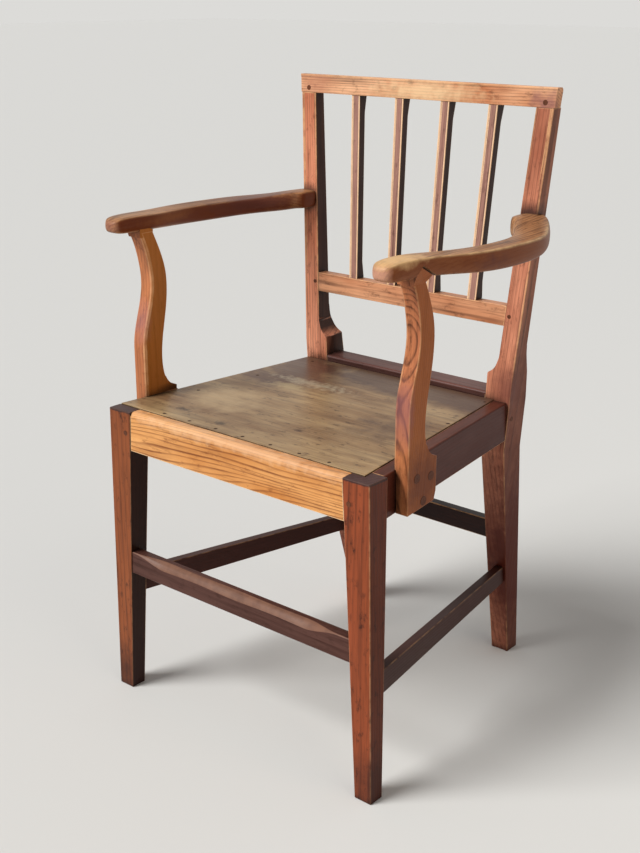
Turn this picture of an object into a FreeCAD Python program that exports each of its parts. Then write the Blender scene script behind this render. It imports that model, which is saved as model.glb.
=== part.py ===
import FreeCAD, Part
import math
import os
import Sketcher
from FreeCAD import Vector

# An elbow chair with a square seat frame, pegged joints, a board seat, four upright slats and swept arms.
# The chair faces the way of -Y, +Z is up, and the sitter's left hand is on the side of +X.
# Heights are taken from the floor, depths from the front of the front legs.

# Driving dimensions, in millimetres
sizes = {
    # seat frame
    "seat_height": 440,
    "seat_depth": 374,
    "front_width": 463,
    "front_foot_span": 481,
    "front_leg_width": 42,
    "front_leg_depth": 36,
    "front_foot_width": 27,
    "front_foot_depth": 24,
    "seat_rail_height": 57,
    "front_rail_thickness": 32,
    "front_rail_setback": 1,
    "front_rail_round": 8,
    "side_rail_thickness": 32,
    "side_rail_inset_front": 4,
    "side_rail_inset_rear": 4.5,
    "side_rail_round": 2.5,
    "rear_rail_rise": 10,
    "rear_rail_round": 4,
    "rear_rail_ledge": 10,
    "rear_rail_depth": 39,
    # board seat
    "board_thickness": 12,
    "board_proud": 1.5,
    "front_lip": 20.5,
    "side_lip": 21,
    "board_gap": 0.3,
    "board_rear_gap": 2.5,
    # rear posts
    "overall_height": 872,
    "rear_foot_span": 313,
    "post_top_span": 440,
    "rear_foot_width": 29,
    "rear_foot_depth": 27,
    "rear_leg_kick": 83,
    "knee_drop": 75,
    "knuckle_rise": 39,
    "knuckle_width": 42,
    "knuckle_depth": 44,
    "knuckle_round": 3,
    "cove_height": 24,
    "cove_radius": 22,
    "shoulder_depth": 39,
    "back_cove_height": 33,
    "back_cove_radius": 60,
    "stile_width": 27,
    "stile_depth_low": 26.5,
    "stile_depth_top": 19.5,
    "rake_rise": 30,
    "back_rake": 26,
    # back
    "crest_height": 26.5,
    "crest_depth": 15,
    "crest_overhang": 1.5,
    "crest_round": 5,
    "mid_rail_rise": 137,
    "mid_rail_height": 28.5,
    "mid_rail_depth": 18,
    "slat_width": 15,
    "slat_depth": 13.5,
    "slat_end_depth": 17.5,
    "slat_flare": 25,
    "slat_setback": 1,
    "slat_shift": 4.5,
    # stretchers
    "front_stretcher_top": 226,
    "front_stretcher_height": 33.5,
    "front_stretcher_depth": 17,
    "front_stretcher_setback": 1.5,
    "front_stretcher_wear": 9,
    "side_stretcher_front_top": 181,
    "side_stretcher_front_height": 34,
    "side_stretcher_rear_top": 162,
    "side_stretcher_rear_height": 27,
    "side_stretcher_thickness": 14,
    "side_stretcher_inset_front": 3,
    "side_stretcher_inset_rear": 6,
    "rear_stretcher_top": 235.5,
    "rear_stretcher_height": 30,
    "rear_stretcher_depth": 16,
    "rear_stretcher_setback": 5,
    # arms
    "support_front": 61,
    "support_thickness": 23.5,
    "support_outset": 12,
    "support_foot_depth": 59,
    "support_ear_height": 7.5,
    "support_waist": 33,
    "support_middle_depth": 28.5,
    "support_top_depth": 24,
    "support_sweep": 18.5,
    "support_chamfer": 2.5,
    "arm_joint_rise": 237,
    "arm_boss_height": 5,
    "left_arm_front": 5,
    "left_arm_thickness": 22.5,
    "left_arm_dip": 8.5,
    "right_arm_front": 20,
    "right_arm_thickness": 19.5,
    "right_arm_dip": 5,
    "arm_width": 36.5,
    "arm_bow": 25,
    "arm_hook": 31,
    "arm_lap": 16,
    "arm_round": 5,
    # joints
    "tenon_thickness": 9,
    "tenon_clearance": 0.2,
    "tenon_shoulder": 8,
    "rail_tenon_height": 34,
    "front_tenon_length": 27,
    "side_tenon_length": 17,
    "rear_tenon_length": 13,
    "stretcher_tenon_length": 14,
    "stretcher_tenon_thickness": 7,
    "stretcher_tenon_height": 20,
    "crest_tenon_length": 17,
    "crest_tenon_width": 15,
    "crest_tenon_thickness": 6,
    "mid_tenon_length": 14,
    "mid_tenon_height": 20,
    "slat_tenon_length": 9,
    "slat_tenon_width": 10,
    "slat_tenon_thickness": 5,
    "arm_tenon_length": 11,
    "arm_tenon_width": 11,
    "arm_tenon_height": 12,
    "support_tenon_length": 12,
    "support_tenon_width": 9,
    "support_tenon_depth": 14,
    # pegs and nails
    "peg_diameter": 7,
    "small_peg_diameter": 5.5,
    "plug_diameter": 12,
    "peg_proud": 0.3,
    "peg_clearance": 0.1,
    "nail_head_diameter": 5,
    "nail_head_thickness": 1,
    "nail_shank_diameter": 2.2,
    "nail_length": 24,
    "nail_sink": 0.4,
}

slat_count = 4
front_nail_count = 7
side_nail_count = 3
sides = {"left": 1, "right": -1}

doc = FreeCAD.newDocument("CaptainsChair")
sheet = doc.addObject("Spreadsheet::Sheet", "Sizes")
for row, (name, value) in enumerate(sizes.items(), start=1):
    sheet.set("A%d" % row, name)
    sheet.set("B%d" % row, str(value))
    sheet.setAlias("B%d" % row, name)
doc.recompute()


class Length:
    """A length that carries its value and the sheet formula it comes from."""

    def __init__(self, value, formula=None):
        self.value = value
        self.formula = formula or "%.6g" % value

    def combine(self, other, sign, value):
        return Length(value, "(%s %s %s)" % (self.formula, sign, length(other).formula))

    def __add__(self, other):
        return self.combine(other, "+", self.value + length(other).value)

    def __sub__(self, other):
        return self.combine(other, "-", self.value - length(other).value)

    def __mul__(self, other):
        return self.combine(other, "*", self.value * length(other).value)

    def __truediv__(self, other):
        return self.combine(other, "/", self.value / length(other).value)

    def __radd__(self, other):
        return length(other) + self

    def __rsub__(self, other):
        return length(other) - self

    def __rmul__(self, other):
        return length(other) * self

    def __rtruediv__(self, other):
        return length(other) / self

    def __neg__(self):
        return 0 - self


def length(number):
    return number if isinstance(number, Length) else Length(number)


class Sheet:
    """The sheet's cells by name, as lengths."""

    def __getattr__(self, name):
        return Length(float(sheet.get(name)), "Sizes.%s" % name)


s = Sheet()


def blend(start, end, share):
    return start + (end - start) * share


# The lines that the pieces share

half_depth = (s.seat_depth + s.rear_leg_kick + s.rear_foot_depth) / 2
rail_bottom = s.seat_height - s.seat_rail_height
rail_tenon_low = rail_bottom + s.tenon_shoulder
rail_tenon_high = rail_tenon_low + s.rail_tenon_height
board_bottom = s.seat_height + s.board_proud - s.board_thickness
board_top = s.seat_height + s.board_proud
knee_height = s.seat_height - s.knee_drop
knuckle_height = s.seat_height + s.knuckle_rise
rake_start = s.seat_height + s.rake_rise
post_top = s.overall_height - s.crest_height
mid_rail_top = s.seat_height + s.mid_rail_rise
mid_rail_bottom = mid_rail_top - s.mid_rail_height
joint_height = s.seat_height + s.arm_joint_rise


def leg_outer(z):
    return blend(s.front_foot_span, s.front_width, z / s.seat_height) / 2


def leg_inner(z):
    return leg_outer(z) - blend(s.front_foot_width, s.front_leg_width, z / s.seat_height)


def leg_back(z):
    return blend(s.front_foot_depth, s.front_leg_depth, z / s.seat_height)


def post_outer(z):
    return blend(s.rear_foot_span, s.post_top_span, z / s.overall_height) / 2


def rear_leg_inner(z):
    return post_outer(z) - blend(s.rear_foot_width, s.knuckle_width, z / knuckle_height)


def rear_leg_front(z):
    return s.seat_depth + s.rear_leg_kick * (knee_height - z) / knee_height


def stile_inner(z):
    return post_outer(z) - s.stile_width


def stile_front(z):
    return s.seat_depth + s.back_rake * (z - rake_start) / (s.overall_height - rake_start)


def rail_outer(y):
    front = leg_outer(s.seat_height) - s.side_rail_inset_front
    rear = post_outer(s.seat_height) - s.side_rail_inset_rear
    share = (y - s.front_leg_depth) / (s.seat_depth - s.front_leg_depth)
    return blend(front, rear, share)


side_stretcher_front = leg_back(s.side_stretcher_front_top)
side_stretcher_rear = rear_leg_front(s.side_stretcher_rear_top - s.side_stretcher_rear_height)


def side_stretcher_outer(y):
    front = leg_outer(s.side_stretcher_front_top) - s.side_stretcher_inset_front
    rear = post_outer(s.side_stretcher_rear_top) - s.side_stretcher_inset_rear
    share = (y - side_stretcher_front) / (side_stretcher_rear - side_stretcher_front)
    return blend(front, rear, share)


def slat_centre(index, z):
    """Slats stand at even steps between the stiles and fan out with them, all a little to the left."""
    clear = stile_inner(z) * 2 - slat_count * s.slat_width
    step = s.slat_width + clear / (slat_count + 1)
    return step * (index - (slat_count - 1) / 2) + s.slat_shift


# Outlines that a piece and its neighbour both use

def strip(outer_line, near, far, start, end):
    """A band in plan, between two distances inside a slanting outer line."""
    return [(outer_line(start) - near, start), (outer_line(end) - near, end),
            (outer_line(end) - far, end), (outer_line(start) - far, start)]


def box(low_x, high_x, low_y, high_y):
    return [(low_x, low_y), (high_x, low_y), (high_x, high_y), (low_x, high_y)]


def slat_outline(index, half, low, high):
    """A slat or its tenons in front view, between two heights."""
    return [(slat_centre(index, low) - half, low), (slat_centre(index, low) + half, low),
            (slat_centre(index, high) + half, high), (slat_centre(index, high) - half, high)]


views = {
    # origin plane, way of its normal along the third axis
    "plan": ("XY_Plane", 1),
    "front": ("XZ_Plane", -1),
    "side": ("YZ_Plane", 1),
}


class Piece:
    """One wooden piece as a body. side is 1 on the sitter's left and -1 for its mirror image."""

    def __init__(self, label, side=1):
        self.body = doc.addObject("PartDesign::Body", label)
        self.body.Label = label
        self.body.setExpression("Placement.Base.y", (-half_depth).formula)
        self.side = side
        self.label = label

    def sketch(self, view, at):
        role, way = views[view]
        plane = [item for item in self.body.Origin.OriginFeatures if item.Role == role][0]
        made = self.body.newObject("Sketcher::SketchObject", "%s_sketch" % self.label)
        made.AttachmentSupport = (plane, [""])
        made.MapMode = "FlatFace"
        made.setExpression("AttachmentOffset.Base.z", (length(way) * at).formula)
        return made

    def span(self, view, start, end):
        """The way a side view is drawn out turns round on the mirrored piece."""
        start, end = length(start), length(end)
        if view == "side" and self.side < 0:
            return -end, -start
        return start, end

    def place(self, view, point):
        across, up = length(point[0]), length(point[1])
        return (across if view == "side" else self.side * across), up

    def outline(self, view, points, at):
        made = self.sketch(view, at)
        corners = [self.place(view, point) for point in points]
        count = len(corners)
        for here, there in zip(corners, corners[1:] + corners[:1]):
            ends = [Vector(end[0].value, end[1].value, 0) for end in (here, there)]
            made.addGeometry(Part.LineSegment(*ends))
        for index in range(count):
            made.addConstraint(Sketcher.Constraint("Coincident", index, 2, (index + 1) % count, 1))
        for index, corner in enumerate(corners):
            for kind, distance in zip(("DistanceX", "DistanceY"), corner):
                rule = Sketcher.Constraint(kind, -1, 1, index, 1, distance.value)
                number = made.addConstraint(rule)
                made.setExpression("Constraints[%d]" % number, distance.formula)
        return made

    def circles(self, view, centres, radius, at):
        made = self.sketch(view, at)
        for index, centre in enumerate(centres):
            across, up = self.place(view, centre)
            made.addGeometry(Part.Circle(Vector(across.value, up.value, 0), Vector(0, 0, 1), radius.value))
            rules = [("DistanceX", (-1, 1, index, 3), across), ("DistanceY", (-1, 1, index, 3), up),
                     ("Radius", (index,), radius)]
            for kind, where, distance in rules:
                number = made.addConstraint(Sketcher.Constraint(kind, *where, distance.value))
                made.setExpression("Constraints[%d]" % number, distance.formula)
        return made

    def extrude(self, kind, profile, view, start, end):
        feature = self.body.newObject("PartDesign::%s" % kind, "%s_%s" % (self.label, kind.lower()))
        feature.Profile = profile
        feature.setExpression("Length", (end - start).formula)
        outward = views[view][1] > 0
        feature.Reversed = outward if kind == "Pocket" else not outward
        profile.Visibility = False
        doc.recompute()
        return feature

    def add(self, view, points, start, end):
        start, end = self.span(view, start, end)
        self.extrude("Pad", self.outline(view, points, start), view, start, end)

    def remove(self, profile, view, start, end):
        before = self.body.Shape.Volume
        self.extrude("Pocket", profile, view, start, end)
        if self.body.Shape.Volume > before - 1:
            raise RuntimeError("%s: a cut took nothing away" % self.label)

    def cut(self, view, points, start, end):
        start, end = self.span(view, start, end)
        self.remove(self.outline(view, points, start), view, start, end)

    def bore(self, view, centres, diameter, start, end):
        start, end = self.span(view, start, end)
        self.remove(self.circles(view, centres, diameter / 2 + s.peg_clearance, start), view, start, end)

    def round_edge(self, radius, chosen):
        """Round the straight edges whose middle point, unmirrored, is one of those chosen."""
        shape = self.body.Shape
        local = self.body.Placement.inverse()
        names = []
        for number, edge in enumerate(shape.Edges, start=1):
            middle = local.multVec((edge.Vertexes[0].Point + edge.Vertexes[-1].Point) / 2)
            if chosen(Vector(middle.x * self.side, middle.y, middle.z), edge):
                names.append("Edge%d" % number)
        tip = self.body.Tip
        feature = self.body.newObject("PartDesign::Fillet", "%s_round" % self.label)
        feature.Base = (tip, names)
        feature.setExpression("Radius", radius.formula)
        doc.recompute()


def near(number, wanted, slack=0.05):
    return abs(number - length(wanted).value) < slack


# Tenons, each grown by a clearance where its mortise is cut

def front_rail_tenon(gap=0):
    low, high = rail_tenon_low - gap, rail_tenon_high + gap
    reach = leg_inner(rail_tenon_low) + s.front_tenon_length + gap
    start = s.front_rail_setback + s.tenon_shoulder - gap
    return box(-reach, reach, low, high), start, start + s.tenon_thickness + gap * 2


def side_rail_tenon(gap=0):
    near_side = s.tenon_shoulder - gap
    far_side = s.tenon_shoulder + s.tenon_thickness + gap
    start = s.front_leg_depth - s.side_tenon_length - gap
    end = s.seat_depth + s.side_tenon_length + gap
    return strip(rail_outer, near_side, far_side, start, end), rail_tenon_low - gap, rail_tenon_high + gap


def rear_rail_tenon(gap=0):
    low, high = rail_tenon_low - gap, rail_tenon_high + gap
    reach = rear_leg_inner(rail_tenon_low) + s.rear_tenon_length + gap
    start = s.seat_depth + s.side_tenon_length + s.tenon_shoulder / 2 - gap
    return box(-reach, reach, low, high), start, start + s.tenon_thickness + gap * 2


def front_stretcher_tenon(gap=0):
    high = s.front_stretcher_top - (s.front_stretcher_height - s.stretcher_tenon_height) / 2 + gap
    low = high - s.stretcher_tenon_height - gap * 2
    reach = leg_inner(low) + s.stretcher_tenon_length + gap
    start = s.front_stretcher_setback + s.front_stretcher_depth - s.stretcher_tenon_thickness - 4 - gap
    return box(-reach, reach, low, high), start, start + s.stretcher_tenon_thickness + gap * 2


def side_stretcher_tenon(gap=0):
    """Two tenons: the front one is higher, because the stretcher falls towards the back."""
    near_side = (s.side_stretcher_thickness - s.stretcher_tenon_thickness) / 2 - gap
    far_side = near_side + s.stretcher_tenon_thickness + gap * 2
    front = side_stretcher_front - s.stretcher_tenon_length - gap
    rear = side_stretcher_rear + s.stretcher_tenon_length + gap
    front_high = s.side_stretcher_front_top - (s.side_stretcher_front_height - s.stretcher_tenon_height) / 2 + gap
    rear_high = s.side_stretcher_rear_top - (s.side_stretcher_rear_height - s.stretcher_tenon_height) / 2 + gap
    tall = s.stretcher_tenon_height + gap * 2
    front_root = side_stretcher_front + s.stretcher_tenon_length
    rear_root = side_stretcher_rear - s.stretcher_tenon_length * 2
    at_front = strip(side_stretcher_outer, near_side, far_side, front, front_root), front_high - tall, front_high
    at_rear = strip(side_stretcher_outer, near_side, far_side, rear_root, rear), rear_high - tall, rear_high
    return at_front, at_rear


def rear_stretcher_tenon(gap=0):
    high = s.rear_stretcher_top - (s.rear_stretcher_height - s.stretcher_tenon_height) / 2 + gap
    low = high - s.stretcher_tenon_height - gap * 2
    reach = rear_leg_inner(low) + s.stretcher_tenon_length + gap
    start = rear_stretcher_front + (s.rear_stretcher_depth - s.stretcher_tenon_thickness) / 2 - gap
    return box(-reach, reach, low, high), start, start + s.stretcher_tenon_thickness + gap * 2


def mid_rail_tenon(gap=0):
    high = mid_rail_top - (s.mid_rail_height - s.mid_tenon_height) / 2 + gap
    low = high - s.mid_tenon_height - gap * 2
    reach = stile_inner(low) + s.mid_tenon_length + gap
    start = stile_front(mid_rail_top) + (s.mid_rail_depth - s.tenon_thickness) / 2 - gap
    return box(-reach, reach, low, high), start, start + s.tenon_thickness + gap * 2


def crest_tenon(gap=0):
    centre = post_outer(post_top) - s.stile_width / 2
    half = s.crest_tenon_width / 2 + gap
    start = stile_front(post_top) + (s.crest_depth - s.crest_tenon_thickness) / 2 - gap
    outline = box(centre - half, centre + half, post_top, post_top + s.crest_tenon_length + gap)
    return outline, start, start + s.crest_tenon_thickness + gap * 2


def slat_tenon(index, gap=0):
    """One long tongue, whose ends stand out of the slat at the top and the bottom."""
    half = s.slat_tenon_width / 2 + gap
    low = mid_rail_top - s.slat_tenon_length - gap
    high = post_top + s.slat_tenon_length + gap
    return slat_outline(index, half, low, high)


def slat_tenon_depth(z, gap=0):
    """Where the tongue starts and ends, front to back, at a height."""
    start = stile_front(z) + s.slat_setback + s.tenon_shoulder / 2 - gap
    return start, start + s.slat_tenon_thickness + gap * 2


arm_tenon_bottom = joint_height + s.arm_boss_height + (s.right_arm_thickness - s.arm_tenon_height) / 2


def arm_tenon(gap=0):
    centre = post_outer(arm_tenon_bottom) - s.stile_width / 2
    half = s.arm_tenon_width / 2 + gap
    low, high = arm_tenon_bottom - gap, arm_tenon_bottom + s.arm_tenon_height + gap
    end = stile_front(arm_tenon_bottom) + s.arm_tenon_length + gap
    return box(centre - half, centre + half, low, high), end


rear_stretcher_front = rear_leg_front(s.rear_stretcher_top - s.rear_stretcher_height) + s.rear_stretcher_setback

# Where the pegs go: view, centre, diameter, start and end of each peg on the sitter's left

crest_peg_centre = (post_outer(post_top) - s.stile_width / 2, post_top + s.crest_tenon_length * 0.4)
front_peg_centre = (leg_inner(rail_tenon_low) + s.tenon_shoulder, (rail_tenon_low + rail_tenon_high) / 2)
mid_peg_centre = (stile_inner(mid_rail_top) + s.small_peg_diameter, mid_rail_top - s.mid_rail_height / 2)
side_peg_centre = (s.seat_depth + s.side_tenon_length * 0.6, rail_tenon_high - s.peg_diameter * 1.5)
side_peg_start = rail_outer(s.seat_depth) - s.tenon_shoulder - s.tenon_thickness - s.peg_diameter / 2
crest_peg_start = stile_front(crest_peg_centre[1]) - s.peg_proud
front_peg_start = -s.peg_proud
front_peg_end = s.front_leg_depth - s.tenon_shoulder
mid_peg_start = stile_front(mid_peg_centre[1]) - s.peg_proud
support_inner = leg_outer(s.seat_height) + s.support_outset - s.support_thickness
support_outer = support_inner + s.support_thickness
support_back = s.support_front + s.support_foot_depth
plug_start = rail_outer(support_back) - s.plug_diameter


def plug_centres(side):
    """Two plugs in a row and one under them, all in the solid part of the rail."""
    high = (s.seat_height if side > 0 else board_bottom) - s.plug_diameter
    return [(s.support_front + s.plug_diameter * 1.5, high),
            (support_back - s.plug_diameter, high - s.plug_diameter / 3),
            (s.support_front + s.support_foot_depth * 0.55, rail_bottom + s.plug_diameter)]


# Front legs: square, straight outside, tapered on the two inner faces

def front_leg(name, side):
    leg = Piece("front_leg_%s" % name, side)
    top = s.seat_height
    leg.add("front", [(leg_inner(0), 0), (leg_outer(0), 0), (leg_outer(top), top), (leg_inner(top), top)],
            0, s.front_leg_depth)
    leg.cut("side", [(leg_back(0), 0), (s.front_leg_depth, top), (s.front_leg_depth, 0)], 0, leg_outer(0))
    # the corner that the seat board is let into
    lip = s.side_lip if side > 0 else -s.front_leg_width
    edge = s.front_lip - s.board_gap
    back = s.front_leg_depth
    leg.cut("plan", [(rail_outer(edge) - lip + s.board_gap, edge), (rail_outer(back) - lip + s.board_gap, back),
                     (leg_inner(0) - s.front_leg_width, back), (leg_inner(0) - s.front_leg_width, edge)],
            board_bottom, top)
    gap = s.tenon_clearance
    leg.cut("front", *front_rail_tenon(gap))
    leg.cut("plan", *side_rail_tenon(gap))
    leg.cut("front", *front_stretcher_tenon(gap))
    leg.cut("plan", *side_stretcher_tenon(gap)[0])
    leg.bore("front", [front_peg_centre], s.peg_diameter, 0, front_peg_end)


# Rear posts: leg and stile in one, kicked back below the seat, with a knuckle above it

def back_post(name, side):
    post = Piece("back_post_%s" % name, side)
    back = s.seat_depth + s.rear_leg_kick + s.rear_foot_depth
    shoulder = knuckle_height
    knuckle_back = s.seat_depth + s.knuckle_depth
    back_cove_top = shoulder + s.back_cove_height
    stile_back_low = stile_front(back_cove_top) + s.stile_depth_low
    stile_back_top = stile_front(post_top) + s.stile_depth_top
    wide = post_outer(s.overall_height)
    cove_top = shoulder + s.cove_height
    cove_middle = shoulder + s.cove_height * 0.29
    cove_inner = blend(stile_inner(cove_middle), rear_leg_inner(shoulder), 0.29)
    post.add("front", [(post_outer(0), 0), (post_outer(post_top), post_top), (stile_inner(post_top), post_top),
                       (stile_inner(cove_top), cove_top), (cove_inner, cove_middle),
                       (rear_leg_inner(shoulder), shoulder), (rear_leg_inner(0), 0)], s.seat_depth, back)
    post.cut("side", [(s.seat_depth, 0), (rear_leg_front(0), 0), (s.seat_depth, knee_height)], 0, wide)
    post.cut("side", [(s.seat_depth, rake_start), (stile_front(post_top), post_top),
                      (s.seat_depth, post_top)], 0, wide)
    post.cut("side", [(back, 0), (knuckle_back, knee_height), (knuckle_back, s.seat_height),
                      (s.seat_depth + s.shoulder_depth, shoulder), (stile_back_low, back_cove_top),
                      (stile_back_top, post_top), (back, post_top)], 0, wide)
    post.round_edge(s.cove_radius, lambda at, edge: near(at.x, cove_inner) and near(at.z, cove_middle)
                    or near(at.x, stile_inner(cove_top)) and near(at.z, cove_top))
    post.round_edge(s.knuckle_round, lambda at, edge: near(at.x, rear_leg_inner(shoulder)) and near(at.z, shoulder))
    post.round_edge(s.back_cove_radius, lambda at, edge: near(at.y, stile_back_low) and near(at.z, back_cove_top))
    post.add("front", *crest_tenon())
    gap = s.tenon_clearance
    post.cut("plan", *side_rail_tenon(gap))
    post.cut("front", *rear_rail_tenon(gap))
    post.cut("plan", *side_stretcher_tenon(gap)[1])
    post.cut("front", *rear_stretcher_tenon(gap))
    post.cut("front", *mid_rail_tenon(gap))
    arm_outline, arm_end = arm_tenon(gap)
    post.cut("front", arm_outline, s.seat_depth, arm_end)
    post.bore("front", [crest_peg_centre], s.peg_diameter, crest_peg_start, crest_peg_start + s.crest_depth)
    post.bore("front", [mid_peg_centre], s.small_peg_diameter, mid_peg_start, mid_peg_start + s.mid_rail_depth)
    post.bore("side", [side_peg_centre], s.peg_diameter, side_peg_start, wide)


# Seat rails

def front_seat_rail():
    rail = Piece("front_seat_rail")
    top = s.seat_height
    start = s.front_rail_setback
    end = start + s.front_rail_thickness
    low, high = leg_inner(rail_bottom), leg_inner(top)
    rail.add("front", [(-low, rail_bottom), (low, rail_bottom), (high, top), (-high, top)], start, end)
    edge = s.front_lip - s.board_gap
    rail.cut("side", box(edge, end, board_bottom, top), -low, low)
    rail.round_edge(s.front_rail_round, lambda at, edge: near(at.y, start) and near(at.z, top))
    rail.add("front", *front_rail_tenon())
    rail.bore("front", both_sides(front_peg_centre), s.peg_diameter, 0, front_peg_end)
    rail.bore("plan", front_nail_places(), s.nail_shank_diameter, nail_bottom, board_bottom)


def side_seat_rail(name, side):
    rail = Piece("side_seat_rail_%s" % name, side)
    top = s.seat_height
    start = leg_back(rail_bottom)
    rail.add("plan", strip(rail_outer, 0, s.side_rail_thickness, start, s.seat_depth), rail_bottom, top)
    wide = rail_outer(start)
    rail.cut("side", [(start, rail_bottom), (leg_back(top), top), (start, top)], 0, wide)
    lip = s.side_lip - s.board_gap if side > 0 else 0
    rail.cut("plan", strip(rail_outer, lip, s.side_rail_thickness, start, s.seat_depth), board_bottom, top)
    if side > 0:
        rail.round_edge(s.side_rail_round, lambda at, edge: near(at.z, top) and near(at.x, rail_outer_at(at.y)))
    rail.add("plan", *side_rail_tenon())
    rail.bore("side", [side_peg_centre], s.peg_diameter, side_peg_start, wide)
    rail.bore("side", plug_centres(side), s.plug_diameter, plug_start, wide)
    rail.bore("plan", side_nail_places(), s.nail_shank_diameter, nail_bottom, board_bottom)


def rail_outer_at(y):
    """The rail's outer line at a measured depth, as a plain number."""
    return rail_outer(length(y)).value


def rear_seat_rail():
    rail = Piece("rear_seat_rail")
    top = s.seat_height + s.rear_rail_rise
    end = s.seat_depth + s.rear_rail_depth
    low, high = rear_leg_inner(rail_bottom), rear_leg_inner(top)
    rail.add("front", [(-low, rail_bottom), (low, rail_bottom), (high, top), (-high, top)], s.seat_depth, end)
    for back in (False, True):
        edge_y = end if back else s.seat_depth
        rail.round_edge(s.rear_rail_round, lambda at, edge: near(at.y, edge_y) and near(at.z, top))
    # the ledge that carries the back edge of the board
    ledge = rear_leg_inner(board_bottom)
    rail.add("front", [(-low, rail_bottom), (low, rail_bottom), (ledge, board_bottom), (-ledge, board_bottom)],
             s.seat_depth - s.rear_rail_ledge, s.seat_depth)
    rail.add("front", *rear_rail_tenon())


# Seat board: let in between the lips at the front and on the left, and out over the rail on the right

def seat_board():
    board = Piece("seat_board")
    front = s.front_lip
    rear = s.seat_depth - s.board_rear_gap
    board.add("plan", [(-rail_outer(front), front), (rail_outer(front) - s.side_lip, front),
                       (rail_outer(rear) - s.side_lip, rear), (-rail_outer(rear), rear)], board_bottom, board_top)
    board.bore("plan", nail_places(), s.nail_shank_diameter, board_bottom, nail_head_bottom)
    board.bore("plan", nail_places(), s.nail_head_diameter, nail_head_bottom, board_top)


# Back: crest, lower rail and slats, all leaning with the stiles

def back_rail(label, low, high, half_low, half_high, depth):
    """A rail whose front lies in the stiles' leaning front plane."""
    rail = Piece(label)
    rail.add("front", [(-half_low, low), (half_low, low), (half_high, high), (-half_high, high)],
             stile_front(low), stile_front(high) + depth)
    rail.cut("side", [(stile_front(low), low), (stile_front(high), high), (stile_front(low), high)],
             -half_high, half_high)
    rail.cut("side", [(stile_front(low) + depth, low), (stile_front(high) + depth, high),
                      (stile_front(high) + depth, low)], -half_high, half_high)
    return rail


def cut_slat_mortises(rail, z):
    for index in range(slat_count):
        start, end = slat_tenon_depth(z, s.tenon_clearance)
        rail.cut("front", slat_tenon(index, s.tenon_clearance), start, end)


def crest_rail():
    rail = back_rail("crest_rail", post_top, s.overall_height, post_outer(post_top) + s.crest_overhang,
                     post_outer(s.overall_height) + s.crest_overhang, s.crest_depth)
    rail.round_edge(s.crest_round, lambda at, edge: near(at.z, s.overall_height)
                    and near(at.y, stile_front(s.overall_height) + s.crest_depth))
    outline, start, end = crest_tenon(s.tenon_clearance)
    for side in sides.values():
        rail.cut("front", [(x * side, z) for x, z in outline], start, end)
    rail.bore("front", both_sides(crest_peg_centre), s.peg_diameter, crest_peg_start,
              crest_peg_start + s.crest_depth)
    cut_slat_mortises(rail, post_top)


def lower_back_rail():
    rail = back_rail("lower_back_rail", mid_rail_bottom, mid_rail_top, stile_inner(mid_rail_bottom),
                     stile_inner(mid_rail_top), s.mid_rail_depth)
    rail.add("front", *mid_rail_tenon())
    rail.bore("front", both_sides(mid_peg_centre), s.small_peg_diameter, mid_peg_start,
              mid_peg_start + s.mid_rail_depth)
    cut_slat_mortises(rail, mid_rail_top)


def back_slat(index):
    slat = Piece("back_slat_%d" % (index + 1))
    low, high = mid_rail_top, post_top
    front_low = stile_front(low) + s.slat_setback
    front_high = stile_front(high) + s.slat_setback
    back = front_high + s.slat_end_depth
    low_flare, high_flare = low + s.slat_flare, high - s.slat_flare
    slat.add("front", slat_outline(index, s.slat_width / 2, low, high), front_low, back)
    wide = s.post_top_span / 2
    slat.cut("side", [(front_low, low), (front_high, high), (front_low, high)], -wide, wide)
    slat.cut("side", [(front_low + s.slat_end_depth, low),
                      (stile_front(low_flare) + s.slat_setback + s.slat_depth, low_flare),
                      (stile_front(high_flare) + s.slat_setback + s.slat_depth, high_flare),
                      (back, high), (back, low)], -wide, wide)
    half = s.slat_tenon_width / 2
    for z in (low, high):
        ends = z - s.slat_tenon_length, z + s.slat_tenon_length
        slat.add("front", slat_outline(index, half, *ends), *slat_tenon_depth(z))


# Stretchers

def front_stretcher():
    bar = Piece("front_stretcher")
    high = s.front_stretcher_top
    low = high - s.front_stretcher_height
    start = s.front_stretcher_setback
    end = start + s.front_stretcher_depth
    bar.add("front", [(-leg_inner(low), low), (leg_inner(low), low), (leg_inner(high), high),
                      (-leg_inner(high), high)], start, end)
    # the upper front edge, worn down by feet, with full corners left beside the legs
    reach = leg_inner(high) - s.front_leg_width
    bar.cut("side", [(start, high), (start + s.front_stretcher_wear, high), (start, high - s.front_stretcher_wear)],
            -reach, reach)
    bar.add("front", *front_stretcher_tenon())


def side_stretcher(name, side):
    bar = Piece("side_stretcher_%s" % name, side)
    front_high, rear_high = s.side_stretcher_front_top, s.side_stretcher_rear_top
    front_low = front_high - s.side_stretcher_front_height
    rear_low = rear_high - s.side_stretcher_rear_height
    front, rear = leg_back(front_low), side_stretcher_rear
    wide = side_stretcher_outer(front)
    bar.add("plan", strip(side_stretcher_outer, 0, s.side_stretcher_thickness, front, rear), rear_low, front_high)
    # the ends follow the legs, the top and the bottom fall towards the back
    bar.cut("side", [(front, front_low), (leg_back(front_high), front_high), (front, front_high)], 0, wide)
    bar.cut("side", [(leg_back(front_high), front_high), (rear_leg_front(rear_high), rear_high), (rear, rear_high),
                     (rear, front_high)], 0, wide)
    bar.cut("side", [(rear_leg_front(rear_high), rear_high), (rear, rear_low), (rear, rear_high)], 0, wide)
    bar.cut("side", [(front, rear_low), (front, front_low), (rear, rear_low)], 0, wide)
    for outline, low, high in side_stretcher_tenon():
        bar.add("plan", outline, low, high)


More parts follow.
